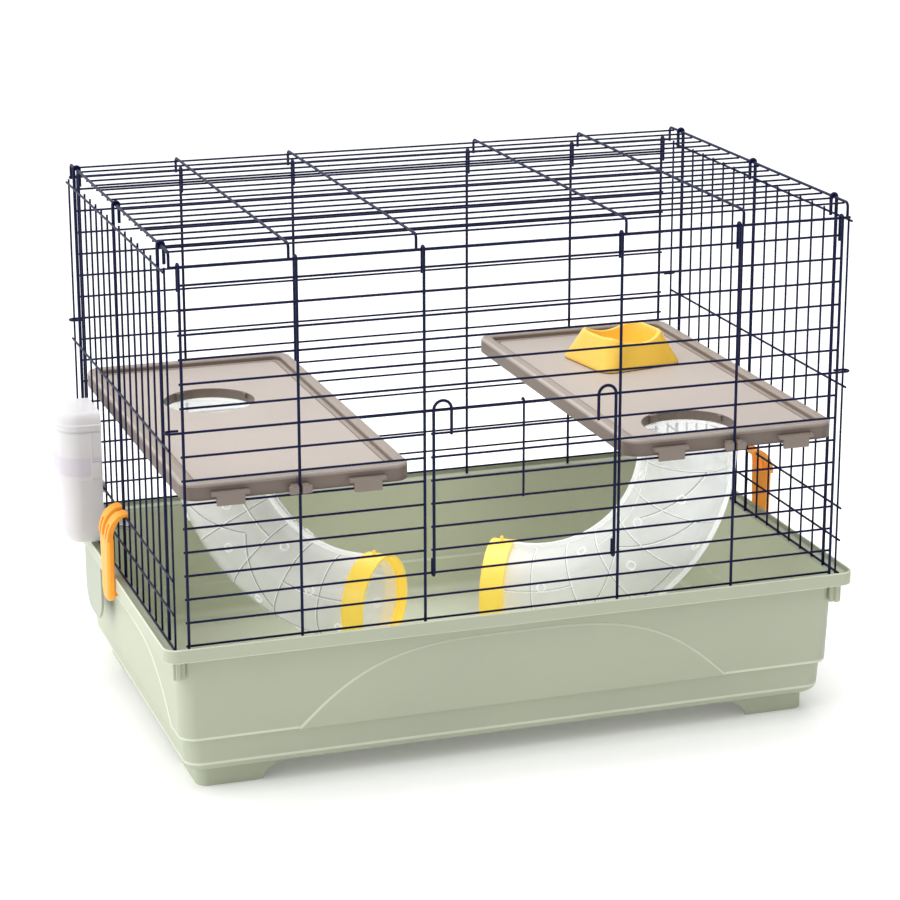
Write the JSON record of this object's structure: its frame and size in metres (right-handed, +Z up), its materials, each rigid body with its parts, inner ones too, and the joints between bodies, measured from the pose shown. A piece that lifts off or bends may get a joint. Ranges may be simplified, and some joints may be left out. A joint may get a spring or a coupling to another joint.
{
  "type": "small-animal cage",
  "caption": "Wire cage on a moulded tray, with a drop-down door, shelves, elbow tubes, a bowl, a hang-on drinker and side clips.",
  "frame": {"origin": "middle of the whole object's outline, on the floor under the feet", "axes": "+X to the right along the cage, +Y from the door to the back, +Z up"},
  "size_m": [0.8436, 0.532, 0.6038],
  "materials": {
    "tray_green": "satin moulded plastic",
    "wire_navy": "gloss powder coat",
    "shelf_taupe": "satin moulded plastic",
    "tube_clear": "clear, slightly milky",
    "ring_yellow": "gloss moulded plastic",
    "clip_orange": "gloss moulded plastic",
    "bowl_yellow": "gloss moulded plastic",
    "drinker_frosted": "frosted translucent",
    "spout_steel": "drawn steel"
  },
  "bodies": {
    "cage": {"tray": "tray_green", "front_panel_uprights": "wire_navy", "front_panel_crosswires": "wire_navy", "back_panel_uprights": "wire_navy", "back_panel_crosswires": "wire_navy", "left_panel_uprights": "wire_navy", "left_panel_hook_wires": "wire_navy", "left_panel_rails": "wire_navy", "right_panel_uprights": "wire_navy", "right_panel_hook_wires": "wire_navy", "right_panel_rails": "wire_navy", "roof_long_wires": "wire_navy", "roof_cross_wires": "wire_navy", "roof_edge_rails": "wire_navy"},
    "door": {"door_side_wires": "wire_navy", "door_crosswires": "wire_navy", "door_latch_wire": "wire_navy"},
    "left_clip": {"left_clip": "clip_orange"},
    "right_clip": {"right_clip": "clip_orange"},
    "left_shelf": {"left_shelf": "shelf_taupe"},
    "right_shelf": {"right_shelf": "shelf_taupe"},
    "left_tube": {"left_tube_front_half": "tube_clear", "left_tube_back_half": "tube_clear"},
    "right_tube": {"right_tube_front_half": "tube_clear", "right_tube_back_half": "tube_clear"},
    "left_ring": {"left_tube_ring": "ring_yellow"},
    "right_ring": {"right_tube_ring": "ring_yellow"},
    "bowl": {"bowl": "bowl_yellow"},
    "drinker": {"drinker_bottle": "drinker_frosted", "drinker_spout": "spout_steel"},
    "drinker_lid": {"drinker_lid": "drinker_frosted"},
    "drinker_ball": {"drinker_ball": "spout_steel"}
  },
  "joints": [
    {"name": "door_swing", "type": "hinge", "parent": "cage", "child": "door", "pos_m": [0.01317, -0.25355, 0.226], "axis": [1, 0, 0], "range_deg": [0, 158]},
    {"name": "left_clip_swing", "type": "hinge", "parent": "cage", "child": "left_clip", "pos_m": [-0.37307, 0, 0.247], "axis": [0, 1, 0], "range_deg": [0, 90]},
    {"name": "right_clip_swing", "type": "hinge", "parent": "cage", "child": "right_clip", "pos_m": [0.39942, 0, 0.247], "axis": [0, -1, 0], "range_deg": [0, 90]},
    {"name": "left_shelf_lift", "type": "slide", "parent": "cage", "child": "left_shelf", "axis": [0, 0, 1], "range_m": [0, 0.013]},
    {"name": "right_shelf_lift", "type": "slide", "parent": "cage", "child": "right_shelf", "axis": [0, 0, 1], "range_m": [0, 0.013]},
    {"name": "left_tube_swivel", "type": "hinge", "parent": "left_shelf", "child": "left_tube", "pos_m": [-0.24882, 0.08255, 0.337], "axis": [0, 0, 1], "range_deg": [-20, 20]},
    {"name": "right_tube_swivel", "type": "hinge", "parent": "right_shelf", "child": "right_tube", "pos_m": [0.23817, -0.18405, 0.337], "axis": [0, 0, 1], "range_deg": [-20, 20]},
    {"name": "left_ring_turn", "type": "hinge", "parent": "left_tube", "child": "left_ring", "pos_m": [-0.09538, -0.07089, 0.1312], "axis": [0.7071, -0.7071, 0], "range_deg": [0, 15]},
    {"name": "right_ring_turn", "type": "hinge", "parent": "right_tube", "child": "right_ring", "pos_m": [0.05618, -0.06586, 0.1312], "axis": [-0.8387, 0.5446, 0], "range_deg": [0, 15]},
    {"name": "bowl_lift", "type": "slide", "parent": "right_shelf", "child": "bowl", "axis": [0, 0, 1], "range_m": [0, 0.05]},
    {"name": "drinker_lift", "type": "slide", "parent": "cage", "child": "drinker", "axis": [0, 0, 1], "range_m": [0, 0.01]},
    {"name": "drinker_lid_lift", "type": "slide", "parent": "drinker", "child": "drinker_lid", "axis": [0, 0, 1], "range_m": [0, 0.03]},
    {"name": "drinker_ball_push", "type": "slide", "parent": "drinker", "child": "drinker_ball", "axis": [-0.9781, 0, 0.2079], "range_m": [0, 0.0008]}
  ]
}
